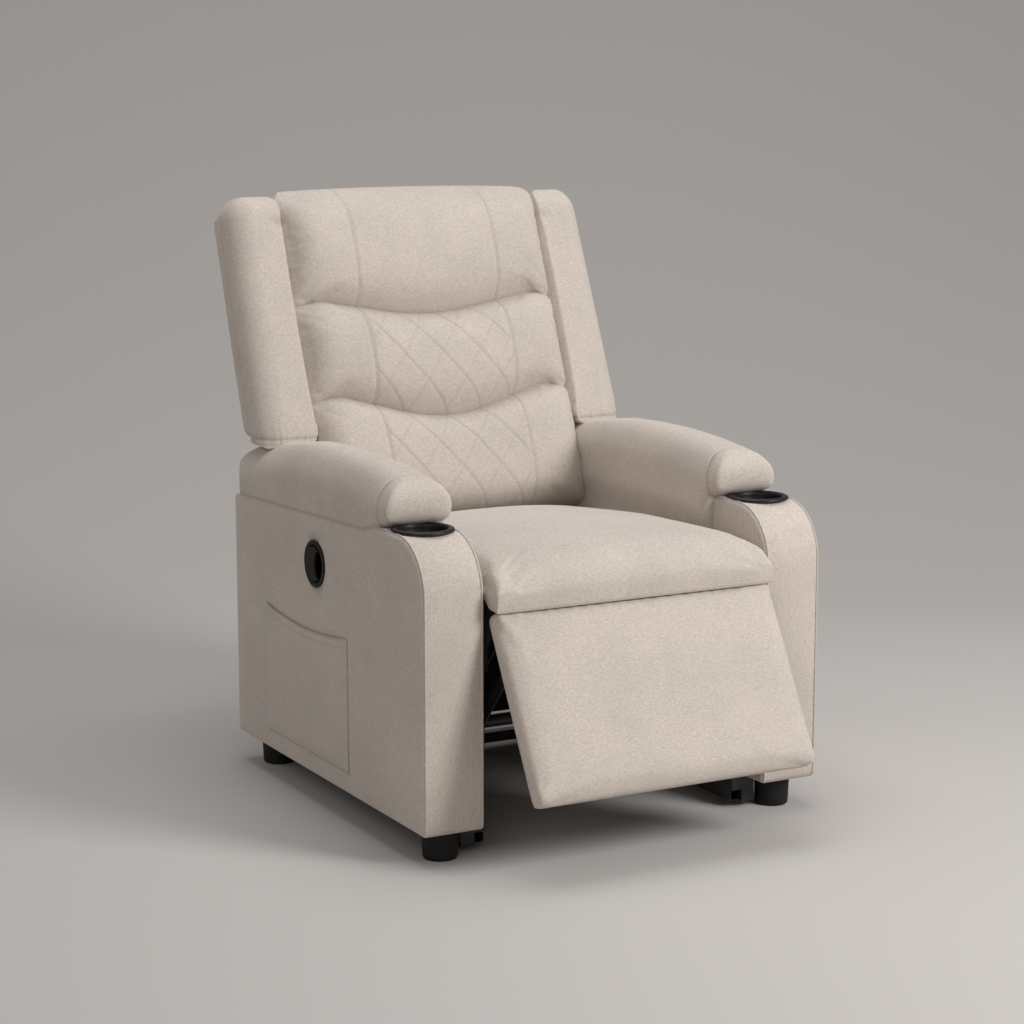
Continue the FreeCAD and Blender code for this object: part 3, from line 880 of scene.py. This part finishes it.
# ---- pocket on the right arm: a sheet sewn on three sides, its top edge hanging in a shallow curve
def pocket():
    y0, y1, z0, z1 = 278.0, 628.0, 91.0, 331.0

    def top_edge(s):
        return z1 - 15 * (1 - (2 * s - 1) ** 2) - 2
    ny, nz = 60, 42
    front, back = [], []
    for j in range(nz + 1):
        for i in range(ny + 1):
            s, t = i / ny, j / nz
            y = y0 + (y1 - y0) * s
            z = z0 + (top_edge(s) - z0) * t
            edge = min(1, min(s, 1 - s) * 14) * min(1, t * 10)
            belly = 3.6 * edge * (0.55 + 0.45 * t) + 0.5 * sin(y * 0.05 + z * 0.03) * edge
            front.append((-HALF_W - 2.2 - belly, y, z))
            back.append((-HALF_W - 1.0 - belly * 0.86, y, z))
    n = len(front)
    verts, faces = front + back, []
    w = ny + 1
    for j in range(nz):
        for i in range(ny):
            a = j * w + i
            faces.append((a, a + 1, a + 1 + w, a + w))
            faces.append((n + a, n + a + w, n + a + 1 + w, n + a + 1))
    for i in range(ny):
        faces.append((i, n + i, n + i + 1, i + 1))
        a = nz * w + i
        faces.append((a, a + 1, n + a + 1, n + a))
    for j in range(nz):
        faces.append((j * w, (j + 1) * w, n + (j + 1) * w, n + j * w))
        a = j * w + ny
        faces.append((a, n + a, n + a + w, a + w))
    ob = make("pocket_cover", verts, faces)
    subdivide(ob)
    c = co_of(ob)
    ztop = top_edge((c[:, 1] - y0) / (y1 - y0))
    hem = gauss(ztop - 16 - c[:, 2], 1.6) + gauss(c[:, 2] - z0 - 7, 1.6)
    c[:, 0] += np.where(c[:, 0] < -HALF_W - 2, 0.7 * hem, 0)
    set_co(ob, c)
    rim = np.minimum(np.minimum(c[:, 1] - y0, y1 - c[:, 1]),
                     np.minimum(c[:, 2] - z0, ztop - c[:, 2]))
    # painted shade along the two hems and round the pocket's edges
    paint_seam_shade(ob, np.maximum(0.4 * hem, gauss(rim, 3.2)))
    return smoothed(ob)


pk = place(pocket(), "base", "side_pocket")

# ---- cup holders, feet: (radius, height) outlines
cup_prof = [(0, 462), (30, 462), (42, 464), (43, 470), (43, 534), (44, 536), (51, 536.2), (52.4, 537.6),
            (52.6, 539.2), (51.6, 541), (49, 542.2), (45.2, 542.4), (42.4, 541), (41.2, 538.2),
            (40.9, 534), (40.7, 524), (39.4, 522), (39.0, 500), (38.4, 474), (36, 468.5),
            (28, 466.6), (0, 466.4)]
foot_prof = [(0, 0), (24, 0), (27.6, 0.8), (28.8, 2.6), (29.4, 8), (30.9, 44), (31.2, 50), (30.6, 53),
             (28, 53.5), (0, 53.5)]
for side, tag in ((1, "left"), (-1, "right")):
    cup = lathe("cup_" + tag, cup_prof, (side * CUP[0], CUP[1], 0), 96)
    place(cup, "base", "cup_holder_" + tag, mat=PLASTIC, slot="black_plastic")
    for where, fy in FOOT_Y:
        ft = lathe("foot_%s_%s_turned" % (where, tag), foot_prof, (side * CUP[0], fy, 0), 72)
        place(ft, "base", "foot_%s_%s" % (where, tag), mat=FOOT, slot="foot_plastic")

# ---- stage, lights, camera
AZ = radians(-28.62)    # the camera's turn about z, which the paper shares
PITCH = radians(90 - 10.02)


def sweep():
    """Seamless paper, metres: flat under the chair, curving up in a quarter turn behind it."""
    flat, r = 1.6, 3.2
    prof = [(-9.0, 0.0), (flat, 0.0)]
    prof += [(flat + r * sin(k * pi / 48), r * (1 - cos(k * pi / 48))) for k in range(1, 25)]
    prof += [(4.8, 9.0)]
    verts, faces = [], []
    for d, z in prof:
        for w in (-9.0, 9.0):
            verts.append((w * cos(AZ) - d * sin(AZ), w * sin(AZ) + d * cos(AZ), z))
    for k in range(len(prof) - 1):
        faces.append((2 * k, 2 * k + 1, 2 * k + 3, 2 * k + 2))
    me = bpy.data.meshes.new("paper")
    me.from_pydata(verts, [], faces)
    me.shade_smooth()
    ob = bpy.data.objects.new("paper", me)
    scene.collection.objects.link(ob)
    return ob


paper_mat, nt, b = new_mat("studio_paper")
b.inputs["Base Color"].default_value = (0.56, 0.54, 0.528, 1)
b.inputs["Roughness"].default_value = 0.85
b.inputs["Specular IOR Level"].default_value = 0.1
paper = sweep()
dress(paper, paper_mat)
scene.view_settings.view_transform = "Standard"

world = bpy.data.worlds.new("world") if scene.world is None else scene.world
scene.world = world
world.use_nodes = True
bg = world.node_tree.nodes["Background"]
bg.inputs["Color"].default_value = (0.86, 0.82, 0.78, 1)
bg.inputs["Strength"].default_value = 0.29


def area_light(name, loc, target, size, power, color=(1, 1, 1)):
    li = bpy.data.lights.new(name, "AREA")
    li.shape, li.size, li.energy, li.color = "DISK", size, power, color
    ob = bpy.data.objects.new(name, li)
    scene.collection.objects.link(ob)
    ob.location = loc
    ob.rotation_euler = (Vector(target) - Vector(loc)).to_track_quat("-Z", "Y").to_euler()
    return ob


area_light("key", (1.8, -3.1, 2.35), (0, 0, 0.5), 1.5, 113, (1, 0.985, 0.965))
area_light("fill", (-3.2, -3.0, 2.2), (0, 0, 0.5), 3.0, 19, (1, 0.97, 0.94))
area_light("top", (0.0, 0.3, 3.6), (0, 0.1, 0.5), 2.4, 42)
area_light("backdrop", (-2.8, 1.8, 2.4), (0.6, 5.2, 0.9), 1.6, 20)

cam_data = bpy.data.cameras.new("camera")
cam_data.sensor_width, cam_data.lens = 36.0, 87.64
cam = bpy.data.objects.new("camera", cam_data)
scene.collection.objects.link(cam)
cam.location = Vector((np.array([-2111.0, -3462.0, 1272.0]) + OFF) / 1000)
cam.rotation_euler = (PITCH, 0, AZ)
scene.camera = cam

bpy.context.view_layer.update()
